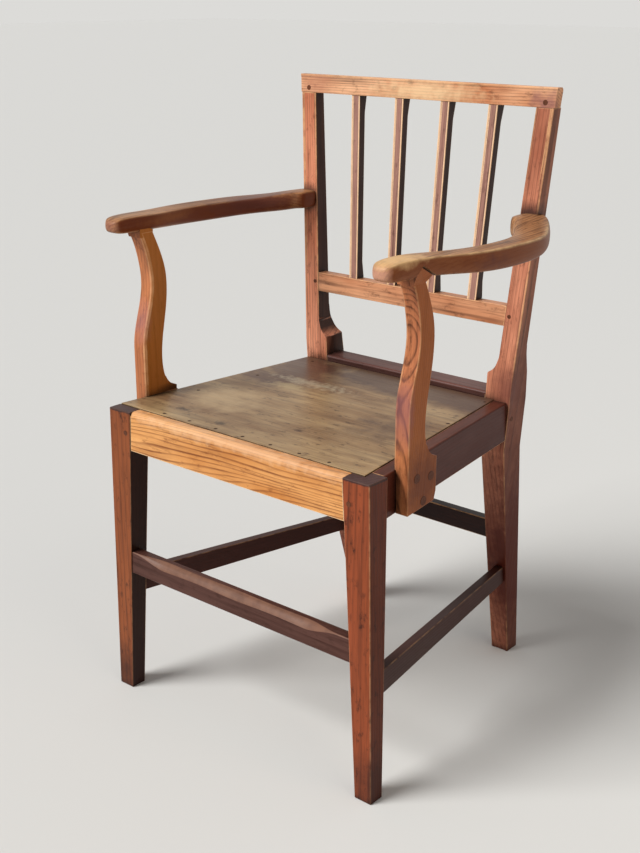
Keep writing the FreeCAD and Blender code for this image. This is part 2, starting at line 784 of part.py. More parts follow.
def rear_stretcher():
    bar = Piece("rear_stretcher")
    high = s.rear_stretcher_top
    low = high - s.rear_stretcher_height
    start = rear_stretcher_front
    end = start + s.rear_stretcher_depth
    bar.add("front", [(-rear_leg_inner(low), low), (rear_leg_inner(low), low), (rear_leg_inner(high), high),
                      (-rear_leg_inner(high), high)], start, end)
    bar.add("front", *rear_stretcher_tenon())


# Nails that hold the board down

nail_head_bottom = board_top - s.nail_sink - s.nail_head_thickness
nail_bottom = nail_head_bottom - s.nail_length


def both_sides(place):
    return [(place[0] * side, place[1]) for side in sides.values()]


def front_nail_places():
    reach = leg_inner(s.seat_height) - s.front_leg_width
    y = s.front_lip + (s.front_rail_thickness + s.front_rail_setback - s.front_lip) / 2
    return [(-reach + reach * 2 * index / (front_nail_count - 1), y) for index in range(front_nail_count)]


def side_nail_places():
    """Places on the sitter's left, behind the arm support's plugs."""
    first = support_back + s.plug_diameter
    last = s.seat_depth - s.rear_rail_ledge * 2
    depths = [blend(first, last, index / (side_nail_count - 1)) for index in range(side_nail_count)]
    return [(rail_outer(y) - (s.side_lip + s.side_rail_thickness) / 2, y) for y in depths]


def nail_places():
    return front_nail_places() + [place for nail in side_nail_places() for place in both_sides(nail)]


def seat_nails():
    nails = []
    for place in nail_places():
        nail = doc.addObject("Part::Fuse", "nail")
        nail.Base = cylinder("nail_head", s.nail_head_diameter, nail_head_bottom,
                             nail_head_bottom + s.nail_head_thickness, "plan", place)
        nail.Tool = cylinder("nail_shank", s.nail_shank_diameter, nail_bottom, nail_head_bottom, "plan", place)
        nails.append(nail)
    return group("seat_nails", nails)


# Pegs, as groups of separate cylinders

turns = {
    "plan": FreeCAD.Rotation(),
    "front": FreeCAD.Rotation(Vector(1, 0, 0), -90),
    "side": FreeCAD.Rotation(Vector(0, 1, 0), 90),
}


def cylinder(name, diameter, start, end, view, centre):
    made = doc.addObject("Part::Cylinder", name)
    made.setExpression("Radius", (diameter / 2).formula)
    made.setExpression("Height", (end - start).formula)
    places = {"plan": (centre[0], centre[1], start), "front": (centre[0], start, centre[1]),
              "side": (start, centre[0], centre[1])}
    made.Placement.Rotation = turns[view]
    for axis, distance in zip("xyz", places[view]):
        made.setExpression("Placement.Base.%s" % axis, length(distance).formula)
    return made


def group(label, parts):
    made = doc.addObject("Part::Compound", label)
    made.Label = label
    made.Links = parts
    made.setExpression("Placement.Base.y", (-half_depth).formula)
    return made


def front_pegs(label, diameter, start, end, centre):
    group(label, [cylinder(label + "_peg", diameter, start, end, "front", place) for place in both_sides(centre)])


def side_pegs(label, diameter, start, end, centres, side):
    if side < 0:
        start, end = -end, -start
    group(label, [cylinder(label + "_peg", diameter, start, end, "side", centre) for centre in centres])


# Arm supports: sawn to a long S in side view, scribed over the side rail

def curve(points, start_way=None, end_way=None):
    made = Part.BSplineCurve()
    if start_way:
        made.interpolate(points, InitialTangent=start_way, FinalTangent=end_way)
    else:
        made.interpolate(points)
    return made.toShape()


def lines(points):
    return [Part.LineSegment(here, there).toShape() for here, there in zip(points, points[1:])]


def block(middle, wide, deep, tall, gap=0):
    """A rectangular block that stands on the point given, grown by a gap all round."""
    corner = middle - Vector(wide / 2 + gap, deep / 2 + gap, 0)
    return Part.makeBox(wide + gap * 2, deep + gap * 2, tall + gap, corner)


def support_tenon(gap=0):
    middle = Vector((support_inner.value + support_outer.value) / 2,
                    s.support_front.value + s.support_top_depth.value / 2, joint_height.value)
    return block(middle, s.support_tenon_width.value, s.support_tenon_depth.value,
                 s.support_tenon_length.value, gap)


def arm_support(name, side):
    front = s.support_front.value
    low = rail_bottom.value
    top = joint_height.value
    foot = s.support_foot_depth.value
    waist = s.support_waist.value
    sweep = s.support_sweep.value
    middle = s.support_middle_depth.value
    ear = s.support_ear_height.value / s.arm_joint_rise.value
    clearance = s.tenon_clearance.value
    shoulder = s.seat_height.value if side > 0 else board_top.value
    inner = support_inner.value
    outer = support_outer.value

    def at(y, share):
        """share runs from the seat, 0, to the arm, 1."""
        return Vector(0, front + y, s.seat_height.value + s.arm_joint_rise.value * share)

    belly = [at(0, 0.3), at(sweep * 0.21, 0.42), at(sweep * 0.7, 0.55), at(sweep, 0.7),
             at(sweep * 0.75, 0.84), at(0, 1)]
    spine = [at(s.support_top_depth.value, 1), at(sweep * 0.7 + s.support_top_depth.value, 0.875),
             at(sweep + middle - 1, 0.74), at(sweep + middle, 0.67), at(sweep * 0.57 + waist, 0.52),
             at(waist + 3, 0.36), at(waist, 0.24), at(waist + 1, 0.165), at(blend(waist, foot, 0.2), 0.1),
             at(blend(waist, foot, 0.5), ear + 0.024), at(blend(waist, foot, 0.85), ear + 0.004), at(foot, ear)]
    heel = [spine[-1], Vector(0, front + foot, low + 18), Vector(0, front + foot - 4, low + 6), Vector(0, front, low),
            belly[0]]
    edges = [curve(belly, Vector(0, 0, 1), Vector(0, -0.5, 1))] + lines([belly[-1], spine[0]])
    profile = Part.Face(Part.Wire(edges + [curve(spine)] + lines(heel)))
    innermost = min(inner, rail_outer(support_back).value) - 1
    profile.translate(Vector(innermost, 0, 0))
    shape = profile.extrude(Vector(outer - innermost, 0, 0))
    # above its shoulder the inner face is upright, below it the foot is scribed to the rail
    shape = shape.cut(Part.makeBox(inner - innermost, foot * 2, top - low, Vector(innermost, front - 1, shoulder)))
    ends = front - 1, front + foot + 1
    beside = [Vector(rail_outer_at(y) + clearance, y, low - 1) for y in ends]
    inside = [Vector(innermost - 1, y, low - 1) for y in reversed(ends)]
    rail_side = Part.Face(Part.makePolygon(beside + inside + beside[:1]))
    shape = shape.cut(rail_side.extrude(Vector(0, 0, shoulder - low + 1)))

    def chamfered(edge):
        box = edge.BoundBox
        ends_on_face = abs(box.XMin - inner) < 0.01 and abs(box.XMax - inner) < 0.01
        return ends_on_face and box.Center.y < front + sweep + 2 and shoulder + 5 < box.Center.z < top - 5

    shape = shape.makeChamfer(s.support_chamfer.value, [edge for edge in shape.Edges if chamfered(edge)])
    shape = shape.fuse(support_tenon())
    for y, z in plug_centres(side):
        shape = shape.cut(Part.makeCylinder(s.plug_diameter.value / 2 + s.peg_clearance.value, outer,
                                            Vector(innermost - 1, y.value, z.value), Vector(1, 0, 0)))
    finished("arm_support_%s" % name, shape, side)


# Arms: swept outwards towards the back, then hooked in across the front of the post

def arm(name, side):
    front = (s.left_arm_front if side > 0 else s.right_arm_front).value
    thickness = (s.left_arm_thickness if side > 0 else s.right_arm_thickness).value
    dip = (s.left_arm_dip if side > 0 else s.right_arm_dip).value
    low = joint_height.value + s.arm_boss_height.value
    high = low + thickness
    post_y = stile_front(length(high)).value
    post_x = post_outer(length(high)).value
    start_x = support_inner.value
    wide = s.arm_width.value
    bow = s.arm_bow.value
    lap_y = post_y + s.arm_lap.value

    def at(share, out):
        """share runs from the nose, 0, to the post, 1; out is measured from the line between them."""
        return Vector(start_x + (post_x - start_x) * share + out, front + (post_y - front) * share, 0)

    def level(share, z):
        return Vector(0, front + (post_y - front) * share, z)

    hook = Vector(post_x - s.stile_width.value + 2, post_y - s.arm_hook.value, 0)
    outside = [at(0.1, wide), at(0.205, wide + bow * 0.18), at(0.31, wide + bow * 0.6), at(0.44, wide + bow),
               at(0.6, wide + bow), at(0.73, wide + bow * 0.92), at(0.79, wide + bow * 0.74),
               at(0.895, wide + bow * 0.08), at(1, wide - bow * 0.78), Vector(post_x + 3, lap_y, 0)]
    inside = [hook, at(0.856, -bow * 0.2), at(0.79, bow * 0.45), at(0.7, bow * 0.85), at(0.6, bow * 0.96),
              at(0.471, bow), at(0.364, bow * 0.74), at(0.258, bow * 0.34), at(0.16, 0), at(0.05, 0)]
    nose = [at(0.05, 0), at(0.013, wide * 0.1), at(0, wide * 0.44), at(0.013, wide * 0.72),
            at(0.045, wide * 0.86), at(0.1, wide)]
    tail = [outside[-1], Vector(hook.x, lap_y, 0), hook]
    plan = Part.Face(Part.Wire([curve(outside)] + lines(tail) + [curve(inside), curve(nose)]))
    plan.translate(Vector(0, 0, low - dip * 3))
    top = [level(-0.1, high - 1), level(0.05, high + 1), level(0.2, high + 0.5), level(0.5, high - dip * 0.45),
           level(0.75, high - dip * 0.9), level(0.87, high - dip), level(0.97, high), level(1.1, high + dip)]
    under = [level(1.1, low - dip * 0.5), level(0.9, low - dip), level(0.7, low - dip * 1.3),
             level(0.45, low - dip * 0.95), level(0.2, low - dip * 0.1), level(0.05, low - dip * 0.2),
             level(-0.1, low)]
    side_view = Part.Wire([curve(top)] + lines([top[-1], under[0]]) + [curve(under)] + lines([under[-1], top[0]]))
    slab = Part.Face(side_view)
    slab.translate(Vector(hook.x - 10, 0, 0))
    shape = plan.extrude(Vector(0, 0, thickness + dip * 6))
    shape = shape.common(slab.extrude(Vector(wide + bow * 3 + start_x - hook.x, 0, 0)))
    long_edges = [edge for edge in shape.Edges if edge.BoundBox.YMax < lap_y - 1 or edge.BoundBox.YLength > wide]
    shape = shape.makeFillet(s.arm_round.value, long_edges)
    # the corner that the post stands in, leaning both ways
    levels = [length(low - dip * 3), length(high + dip * 3)]
    beyond = start_x + wide + bow
    beside = [Vector(post_outer(z).value + s.tenon_clearance.value, 0, z.value) for z in levels]
    across = [Vector(-beyond, 0, z.value) for z in reversed(levels)]
    in_front = [Vector(-beyond, stile_front(z).value, z.value) for z in levels]
    behind = [Vector(-beyond, lap_y + 10, z.value) for z in reversed(levels)]
    inside_post = Part.Face(Part.makePolygon(beside + across + beside[:1])).extrude(Vector(0, lap_y * 2, 0))
    behind_front = Part.Face(Part.makePolygon(in_front + behind + in_front[:1])).extrude(Vector(beyond * 2, 0, 0))
    shape = shape.cut(inside_post.common(behind_front))
    boss = Vector((support_inner.value + support_outer.value) / 2,
                  s.support_front.value + s.support_top_depth.value / 2, joint_height.value)
    shape = shape.fuse(block(boss, s.support_thickness.value, s.support_top_depth.value,
                             s.arm_boss_height.value + thickness / 3))
    shape = shape.cut(support_tenon(s.tenon_clearance.value))
    tenon, end = arm_tenon()
    corner = [Vector(x.value, post_y - s.arm_tenon_length.value, z.value) for x, z in tenon]
    tongue = Part.Face(Part.makePolygon(corner + corner[:1]))
    shape = shape.fuse(tongue.extrude(Vector(0, end.value - corner[0].y, 0)))
    finished("arm_%s" % name, shape, side)


def finished(label, shape, side):
    """Shapes are worked out on the sitter's left and turned over for the right."""
    made = doc.addObject("Part::Feature", label)
    made.Label = label
    shape = shape.removeSplitter()
    made.Shape = shape if side > 0 else shape.mirror(Vector(0, 0, 0), Vector(1, 0, 0))
    made.Placement = FreeCAD.Placement(Vector(0, -half_depth.value, 0), FreeCAD.Rotation())
    return made


for name, side in sides.items():
    front_leg(name, side)
    back_post(name, side)
    side_seat_rail(name, side)
    side_stretcher(name, side)
    arm_support(name, side)
    arm(name, side)
    side_pegs("arm_support_plugs_%s" % name, s.plug_diameter, plug_start, support_outer + s.peg_proud,
              plug_centres(side), side)
    side_pegs("side_rail_peg_%s" % name, s.peg_diameter, side_peg_start,
              post_outer(side_peg_centre[1]) + s.peg_proud, [side_peg_centre], side)
front_seat_rail()
rear_seat_rail()
seat_board()
crest_rail()
lower_back_rail()
for index in range(slat_count):
    back_slat(index)
front_stretcher()
rear_stretcher()
seat_nails()
front_pegs("front_rail_pegs", s.peg_diameter, front_peg_start, front_peg_end, front_peg_centre)
front_pegs("crest_pegs", s.peg_diameter, crest_peg_start, crest_peg_start + s.crest_depth, crest_peg_centre)
front_pegs("lower_rail_pegs", s.small_peg_diameter, mid_peg_start, mid_peg_start + s.mid_rail_depth, mid_peg_centre)

doc.recompute()

# Check every object, then write each piece to its own file
faults = [item.Label for item in doc.Objects if {"Invalid", "Error"} & set(item.State)]
if faults:
    raise RuntimeError("failed: %s" % ", ".join(faults))
pieces = [item for item in doc.Objects if item.TypeId in ("PartDesign::Body", "Part::Feature", "Part::Compound")]
os.makedirs("parts", exist_ok=True)
for piece in pieces:
    if piece.Shape.isNull() or not piece.Shape.isValid():
        raise RuntimeError("bad shape: %s" % piece.Label)
for piece in pieces:
    piece.Shape.exportStep("parts/%s.step" % piece.Label)
    print("%-24s %d solid(s) %9.0f mm3" % (piece.Label, len(piece.Shape.Solids), piece.Shape.Volume))
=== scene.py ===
from math import cos, pi, radians

import bmesh
import bpy
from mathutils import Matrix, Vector


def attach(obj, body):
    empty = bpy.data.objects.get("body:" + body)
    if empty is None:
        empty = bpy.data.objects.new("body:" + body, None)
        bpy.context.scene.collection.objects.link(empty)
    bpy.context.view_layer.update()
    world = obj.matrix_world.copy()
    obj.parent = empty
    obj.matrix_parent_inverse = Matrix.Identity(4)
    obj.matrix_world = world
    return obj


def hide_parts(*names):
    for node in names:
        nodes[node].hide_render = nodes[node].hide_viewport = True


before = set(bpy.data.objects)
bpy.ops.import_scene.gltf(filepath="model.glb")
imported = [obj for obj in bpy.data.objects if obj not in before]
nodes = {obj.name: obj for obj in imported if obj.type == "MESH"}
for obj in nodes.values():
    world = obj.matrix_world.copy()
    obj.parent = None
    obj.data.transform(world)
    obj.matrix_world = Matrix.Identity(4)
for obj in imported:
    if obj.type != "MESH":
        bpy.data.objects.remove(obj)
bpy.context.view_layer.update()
scene = bpy.context.scene
mm = 0.001
half = 0.242  # from the front of the front legs to the middle of the chair
print("frame loaded:", len(nodes), "nodes")


# Camera, at the place it had in the photograph, turned and then tipped down, in radians
view = {"place": (1.0921, -1.3477, 0.9966), "down": 0.332, "turn": 0.703, "lens": 71.83}
camData = bpy.data.cameras.new("Camera")
camData.sensor_fit = "HORIZONTAL"
camData.sensor_width = 36
camData.lens = view["lens"]
cam = bpy.data.objects.new("Camera", camData)
cam.location = view["place"]
cam.rotation_euler = (pi / 2 - view["down"], 0, view["turn"])
scene.collection.objects.link(cam)
scene.camera = cam
scene.view_settings.view_transform = "Standard"


# Small helpers for materials

def addNode(tree, kind, inputs=None, links=None, **settings):
    node = tree.nodes.new(kind)
    for name, value in settings.items():
        setattr(node, name, value)
    for name, value in (inputs or {}).items():
        node.inputs[name].default_value = value
    for name, source in (links or {}).items():
        tree.links.new(source, node.inputs[name])
    return node


def linear(hexText):
    parts = [int(hexText[i:i + 2], 16) / 255 for i in (1, 3, 5)]
    return tuple(c / 12.92 if c <= 0.04045 else ((c + 0.055) / 1.055) ** 2.4 for c in parts) + (1,)


def stainOrSheen(at, size, colour, strength, core=0.3, ragged=0.6, grit=12):
    # a mark with a soft, torn edge, used for real stains and for painted highlights and sheen: its middle,
    # its reach each way and the size of its tears, all in mm
    return {"at": at, "size": size, "colour": colour, "strength": strength, "core": core,
            "ragged": ragged, "grit": grit}


# Waxed wood. Old elm and fruitwood, planed by hand, stained and waxed for years: rings a few mm apart,
# long dark streaks, a soft sheen, pale rubbed arrises, and dark dirt with painted shade in every corner.
woodLook = {
    "grain": (0, 0, 1),         # the way of the grain
    "pith": (60, 300, 0),       # mm, a point on the middle of the tree
    "ringGap": 5,               # mm
    "wander": 14,               # mm, how far the rings wander
    "ring": 0.45,               # how dark the rings are
    "streak": 0.4,              # how dark the streaks and pores are
    "patch": 0.6,               # how strongly the second colour shows in its patches
    "base": "#9A5A35",
    "second": "#7A4028",
    "dark": "#35180F",          # of rings, streaks, pores and spots
    "pale": "#E3AE7E",          # of rubbed arrises
    "wear": (0.2, 0.7),         # how much shows on a rubbed arris, at least and at most
    "grime": 0.85,              # how dark the dirt and the painted shade in the corners are
    "roughness": (0.34, 0.52),  # at least and at most
    "wax": 0.1,                 # weight of the wax coat
    "spots": 0.55,              # how dark the small stains and dents are
    "shady": None,              # painted shade on the faces that look one way: that way, how strongly they are darkened and their colour
    "marks": [],
}


def waxedWood(name, **changes):
    look = dict(woodLook, **changes)
    material = bpy.data.materials.new(name)
    material.use_nodes = True
    tree = material.node_tree
    shader = tree.nodes["Principled BSDF"]
    coords = addNode(tree, "ShaderNodeTexCoord").outputs["Object"]
    turn = Vector(look["grain"]).rotation_difference(Vector((0, 0, 1)))
    away = -(turn @ (Vector(look["pith"]) * mm))
    turned = addNode(tree, "ShaderNodeMapping", {"Location": away, "Rotation": turn.to_euler()},
                     {"Vector": coords}).outputs["Vector"]

    def vectorMath(operation, inputs, links, result="Vector"):
        return addNode(tree, "ShaderNodeVectorMath", inputs, links, operation=operation).outputs[result]

    def along(length):  # how much longer a pattern is along the grain than across it
        return vectorMath("MULTIPLY", {1: (1, 1, 1 / length)}, {0: turned})

    def noise(vector, size, detail=3, roughness=0.55):  # size in mm
        return addNode(tree, "ShaderNodeTexNoise", {"Scale": 1 / (size * mm), "Detail": detail,
                       "Roughness": roughness}, {"Vector": vector})

    def spread(value, low, high, start, end):
        return addNode(tree, "ShaderNodeMapRange", {1: low, 2: high, 3: start, 4: end},
                       {0: value}).outputs["Result"]

    def times(first, second):
        return addNode(tree, "ShaderNodeMath", {}, {0: first, 1: second}, operation="MULTIPLY").outputs[0]

    def mix(first, second, factor):
        made = addNode(tree, "ShaderNodeMix", {}, {0: factor}, data_type="RGBA")
        for index, colour in ((6, first), (7, second)):
            if isinstance(colour, str):
                made.inputs[index].default_value = linear(colour)
            else:
                tree.links.new(colour, made.inputs[index])
        return made.outputs[2]

    # growth rings round the pith, wandering a little along the tree
    slow = along(11)
    wander = noise(slow, 45, 2).outputs["Color"]
    bent = vectorMath("MULTIPLY_ADD", {1: (look["wander"] * mm,) * 3}, {0: wander, 2: slow})
    level = vectorMath("MULTIPLY", {1: (1, 1, 0)}, {0: bent})
    radius = vectorMath("LENGTH", {}, {0: level}, "Value")
    count = addNode(tree, "ShaderNodeMath", {1: 1 / (look["ringGap"] * mm)}, {0: radius},
                    operation="MULTIPLY")
    part = addNode(tree, "ShaderNodeMath", {}, {0: count.outputs[0]}, operation="FRACT").outputs[0]
    ramp = addNode(tree, "ShaderNodeValToRGB", {}, {0: part})
    stops = ramp.color_ramp.elements
    stops[0].color, stops[1].color = (0, 0, 0, 1), (0, 0, 0, 1)
    for place, grey in ((0.55, 0.08), (0.84, 1), (0.92, 0.7)):
        stops.new(place).color = (grey, grey, grey, 1)
    rings = ramp.outputs["Color"]
    # pores: really 0.2 mm wide, drawn some 2 mm wide so that they show
    pores = noise(along(24), 2.2, 3, 0.6).outputs["Fac"]
    streaks = noise(along(16), 9, 3, 0.6).outputs["Fac"]
    patches = noise(along(3), 90, 4, 0.6).outputs["Fac"]
    colour = mix(look["base"], look["second"], spread(patches, 0.35, 0.65, 0, look["patch"]))
    strongRings = times(rings, spread(streaks, 0.3, 0.65, look["ring"] * 0.35, look["ring"]))
    colour = mix(colour, look["dark"], strongRings)
    colour = mix(colour, look["dark"], spread(streaks, 0.5, 0.75, 0, look["streak"]))
    colour = mix(colour, look["dark"], spread(pores, 0.52, 0.72, 0, look["streak"]))
    # stains and dents, up to 9 mm wide, blackened by wax
    stains = noise(along(2), 100 / 11, 5, 0.7).outputs["Fac"]
    colour = mix(colour, look["dark"], spread(stains, 0.56, 0.7, 0, look["spots"]))
    # painted shade: the faces that look one way are darkened, as if shade fell on that side
    if look["shady"]:
        way, strength, shadyColour = look["shady"]
        normal = addNode(tree, "ShaderNodeNewGeometry").outputs["Normal"]
        facing = vectorMath("DOT_PRODUCT", {1: way}, {0: normal}, "Value")
        colour = mix(colour, shadyColour, spread(facing, 0.5, 0.9, 0, strength))
    # rubbed arrises
    wear = addNode(tree, "ShaderNodeAttribute", attribute_name="wear").outputs["Fac"]
    rubbed = spread(noise(coords, 16, 3).outputs["Fac"], 0.34, 0.6, *look["wear"])
    colour = mix(colour, look["pale"], times(wear, rubbed))
    # dirt and painted shade in the corners, where two pieces meet: darker wherever ambient occlusion finds
    # wood close by
    shade = addNode(tree, "ShaderNodeAmbientOcclusion", {"Distance": 20 * mm}, samples=6).outputs["AO"]
    cornerDirtAndShade = spread(shade, 0.45, 0.85, look["grime"], 0)
    colour = mix(colour, "#1C0F0B", cornerDirtAndShade)
    for mark in look["marks"]:
        size = Vector(mark["size"]) * mm
        place = [-a * mm / b for a, b in zip(mark["at"], size)]
        near = addNode(tree, "ShaderNodeMapping", {"Location": place, "Scale": [1 / b for b in size]},
                       {"Vector": coords}).outputs["Vector"]
        tears = noise(coords, mark["grit"]).outputs["Color"]
        torn = vectorMath("MULTIPLY_ADD", {1: (mark["ragged"],) * 3}, {0: tears, 2: near})
        centred = vectorMath("SUBTRACT", {1: (mark["ragged"] / 2,) * 3}, {0: torn})
        reach = vectorMath("LENGTH", {}, {0: centred}, "Value")
        colour = mix(colour, mark["colour"], spread(reach, 1, mark["core"], 0, mark["strength"]))
    tree.links.new(colour, shader.inputs["Base Color"])
    tree.links.new(spread(patches, 0.3, 0.7, *look["roughness"]), shader.inputs["Roughness"])
    bump = addNode(tree, "ShaderNodeBump", {"Strength": 0.35, "Distance": 0.6 * mm},
                   {"Height": times(rings, pores)})
    tree.links.new(bump.outputs["Normal"], shader.inputs["Normal"])
    shader.inputs["IOR"].default_value = 1.5
    shader.inputs["Specular IOR Level"].default_value = 0.12
    shader.inputs["Coat Weight"].default_value = look["wax"]
    shader.inputs["Coat Roughness"].default_value = 0.3
    return material


def elm(node, look):
    return waxedWood("waxed elm, " + node.replace("_", " "), **look)


# Lines of the back that the pieces share, in mm. Heights are from the floor and the front of the stiles is
# counted from the front of the front legs. The stiles lean back above the knee.
stile = {"outAtFoot": 156.5, "outMore": 63.5, "top": 872, "frontAtKnee": 374, "lean": 26, "knee": 470,
         "wide": 27}


def postOuter(z):
    return stile["outAtFoot"] + stile["outMore"] * z / stile["top"]


def stileFront(z):
    return stile["frontAtKnee"] + stile["lean"] * (z - stile["knee"]) / (stile["top"] - stile["knee"])


def offFront(at, inset=0):
    # metres between a point and the front of the stiles, or a face that lies some mm behind it
    return abs(at.y + half - (stileFront(at.z / mm) + inset) * mm)


# Making a piece from a mesh, and a worn piece from a CAD node

def meshOf(shape, name):
    mesh = bpy.data.meshes.new(name)
    shape.to_mesh(mesh)
    shape.free()
    return mesh


def finish(name, mesh, material, replaced, angle=40, flat=True):
    piece = bpy.data.objects.new(name, mesh)
    scene.collection.objects.link(piece)
    mesh.materials.clear()
    mesh.materials.append(material)
    mesh.shade_smooth()
    mesh.set_sharp_from_angle(angle=radians(angle))
    if flat:
        even = piece.modifiers.new("Even", "WEIGHTED_NORMAL")
        even.weight = 100
        even.keep_sharp = True
    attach(piece, "root")
    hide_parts(*replaced)
    return piece


def copyOf(node):
    shape = bmesh.new()
    shape.from_mesh(nodes[node].data)
    bmesh.ops.remove_doubles(shape, verts=shape.verts, dist=0.002 * mm)
    bmesh.ops.dissolve_limit(shape, angle_limit=radians(1), verts=shape.verts, edges=shape.edges)
    return shape


def scratchLine(shape, point, normal, onFace, depth=0.7, wide=0.7):
    # a fine line cut with a scratch stock, beside an arris
    point, normal = Vector(point) * mm, Vector(normal).normalized()
    for offset in (-wide * mm, 0, wide * mm):
        everything = list(shape.verts) + list(shape.edges) + list(shape.faces)
        bmesh.ops.bisect_plane(shape, geom=everything, dist=0.002 * mm, plane_co=point + normal * offset,
                               plane_no=normal)
    for vert in shape.verts:
        if abs((vert.co - point).dot(normal)) < 0.01 * mm and onFace(vert.co):
            vert.co.y += depth * mm


def wornArrises(shape, wide, shortest):
    arrises = [edge for edge in shape.edges if edge.is_convex and edge.calc_length() > shortest * mm
               and edge.calc_face_angle(0) > radians(40)]
    return bmesh.ops.bevel(shape, geom=arrises, offset=wide * mm, offset_type="OFFSET", segments=3,
                           profile=0.5, affect="EDGES", clamp_overlap=False, material=-1,
                           loop_slide=True)["faces"]


def markWear(shape, rubbedFaces, alsoRubbed, widest=2.2):
    # the rounded arrises are rubbed, but not the wide faces where several of them meet
    wear = shape.loops.layers.float.new("wear")
    rubbedFaces = {face for face in rubbedFaces if face.is_valid
                   and face.calc_area() < widest * mm * max(edge.calc_length() for edge in face.edges)}
    for face in shape.faces:
        amount = 1 if face in rubbedFaces else 0
        if alsoRubbed and not amount:
            amount = alsoRubbed(face.calc_center_median())
        for loop in face.loops:
            loop[wear] = amount


def wornPiece(node, material, wide=1.1, shortest=14, lines=(), alsoRubbed=None):
    shape = copyOf(node)
    for line in lines:
        scratchLine(shape, **line)
    rubbed = wornArrises(shape, wide, shortest)
    markWear(shape, rubbed, alsoRubbed)
    return finish(node + "_worn", meshOf(shape, node + "_worn"), material, [node])


def loft(sections):
    # closed sections, one after the other, joined by faces and closed at both ends
    shape = bmesh.new()
    rings = []
    for section in sections:
        ring = bmesh.ops.create_circle(shape, cap_ends=False, segments=len(section), radius=1)["verts"]
        for vert, place in zip(ring, section):
            vert.co = Vector(place) * mm
        rings.append(ring)
    hoops = [list({edge for vert in ring for edge in vert.link_edges}) for ring in rings]
    for first, second in zip(hoops, hoops[1:]):
        bmesh.ops.bridge_loops(shape, edges=first + second)
    for hoop in (hoops[0], hoops[-1]):
        bmesh.ops.contextual_create(shape, geom=hoop)
    bmesh.ops.recalc_face_normals(shape, faces=shape.faces)
    return shape


# Front legs
legs = {
    "front_leg_left": {
        "pith": (300, -400, 0), "base": "#96492A", "second": "#783818", "streak": 0.45, "spots": 0.85,
        "wear": (0.1, 0.35), "shady": ((1, 0, 0), 0.6, "#30100A"), "marks": [
            stainOrSheen((208, -223, 441), (60, 60, 5), "#2A2226", 0.85, core=0.7),
            stainOrSheen((238, -230, 30), (40, 40, 60), "#2E1510", 0.6)]},
    "front_leg_right": {
        "pith": (-150, -330, 0), "base": "#92502C", "second": "#74381A", "spots": 0.8,
        "wear": (0.1, 0.35), "shady": ((1, 0, 0), 0.94, "#1E0C08"), "marks": [
            stainOrSheen((-212, -223, 441), (60, 60, 5), "#2A2226", 0.85, core=0.7),
            stainOrSheen((-230, -230, 20), (40, 40, 70), "#2E1510", 0.75)]},
}
for node, look in legs.items():
    wornPiece(node, elm(node, look), 1.3)
print("front legs done")

# Back posts, with a scratched line along both arrises of the front
posts = {
    "back_post_left": {"side": 1, "look": {
        "pith": (420, 40, 0), "base": "#D88E6E", "second": "#84402A", "patch": 0.9, "ring": 0.5,
        "ringGap": 6, "shady": ((1, 0, 0), 0.45, "#1E0C08"), "marks": [
            stainOrSheen((170, 200, 180), (70, 130, 260), "#521E12", 0.92),
            stainOrSheen((204, 165, 440), (24, 70, 130), "#521E12", 0.85),
            stainOrSheen((186, 134, 462), (34, 30, 40), "#6E4036", 0.7),
            stainOrSheen((196, 147, 707), (40, 34, 20), "#3B2420", 0.85, core=0.2)]}},
    "back_post_right": {"side": -1, "look": {
        "pith": (-420, 40, 0), "base": "#F2A480", "second": "#B05C3A", "patch": 0.85,
        "shady": ((1, 0, 0), 0.93, "#1E0C08"), "marks": [
            stainOrSheen((-170, 200, 180), (70, 130, 260), "#521E12", 0.92),
            stainOrSheen((-195, 145, 690), (30, 20, 24), "#3B2420", 0.7)]}},
}
# mm in from the outer edge and up from the floor, and how rubbed the wood outside the lines is
postLines = {"at": (3.4, 23.6), "from": 510, "rubbedOutside": (3, 24), "rubbedFrom": 505, "rubbed": 0.55}
for node, post in posts.items():
    side = post["side"]
    outward = Vector((side, 0, -stile["outMore"] / stile["top"]))

    def onFront(at):
        return offFront(at) < 0.02 * mm and at.z > postLines["from"] * mm

    def nearArris(at):
        z = at.z / mm
        inFromEdge = postOuter(z) - side * at.x / mm
        outer, inner = postLines["rubbedOutside"]
        onFace = offFront(at) < 0.4 * mm and z > postLines["rubbedFrom"]
        return postLines["rubbed"] if onFace and (inFromEdge < outer or inFromEdge > inner) else 0

    lines = [{"point": (side * (stile["outAtFoot"] - inward), 0, 0), "normal": outward, "onFace": onFront}
             for inward in postLines["at"]]
    look = dict(post["look"], grain=(side * 0.073, 0.06, 1))
    wornPiece(node, elm(node, look), 1.1, lines=lines, alsoRubbed=nearArris)
print("back posts done")

# Seat rails
rails = {
    "front_seat_rail": {"slot": "rail_wood", "wide": 1.2, "look": {
        "grain": (1, 0.05, 0.015), "pith": (60, -300, 300), "base": "#EDAE6C", "second": "#C47C3C",
        "dark": "#6A3014", "ringGap": 4.4, "ring": 0.9, "wander": 30, "patch": 0.9, "streak": 0.35,
        "pale": "#FFDCB0", "wear": (0.5, 1), "marks": [
            # a pale band along the top of the front: partly the rubbed, rounded arris, partly a painted
            # highlight
            stainOrSheen((0, -241, 438), (330, 30, 12), "#E8B88C", 0.6, ragged=1.4, grit=14)]}},
    "side_seat_rail_left": {"slot": "frame_wood", "wide": 1, "look": {
        "grain": (-0.129, 1, 0), "pith": (190, 0, 340), "base": "#5E2E20", "second": "#441E16",
        "shady": ((1, 0, 0), 0.5, "#42160C")}},
    "side_seat_rail_right": {"slot": "frame_wood", "wide": 1, "look": {
        "grain": (0.129, 1, 0), "pith": (-190, 0, 340), "base": "#8A4E30"}},
    "rear_seat_rail": {"slot": "frame_wood", "wide": 1, "look": {
        "grain": (1, 0, 0), "pith": (0, 180, 350), "base": "#664038", "second": "#4A302C"}},
}
for node, rail in rails.items():
    wornPiece(node, elm(node, rail["look"]), rail["wide"])
print("seat rails done")

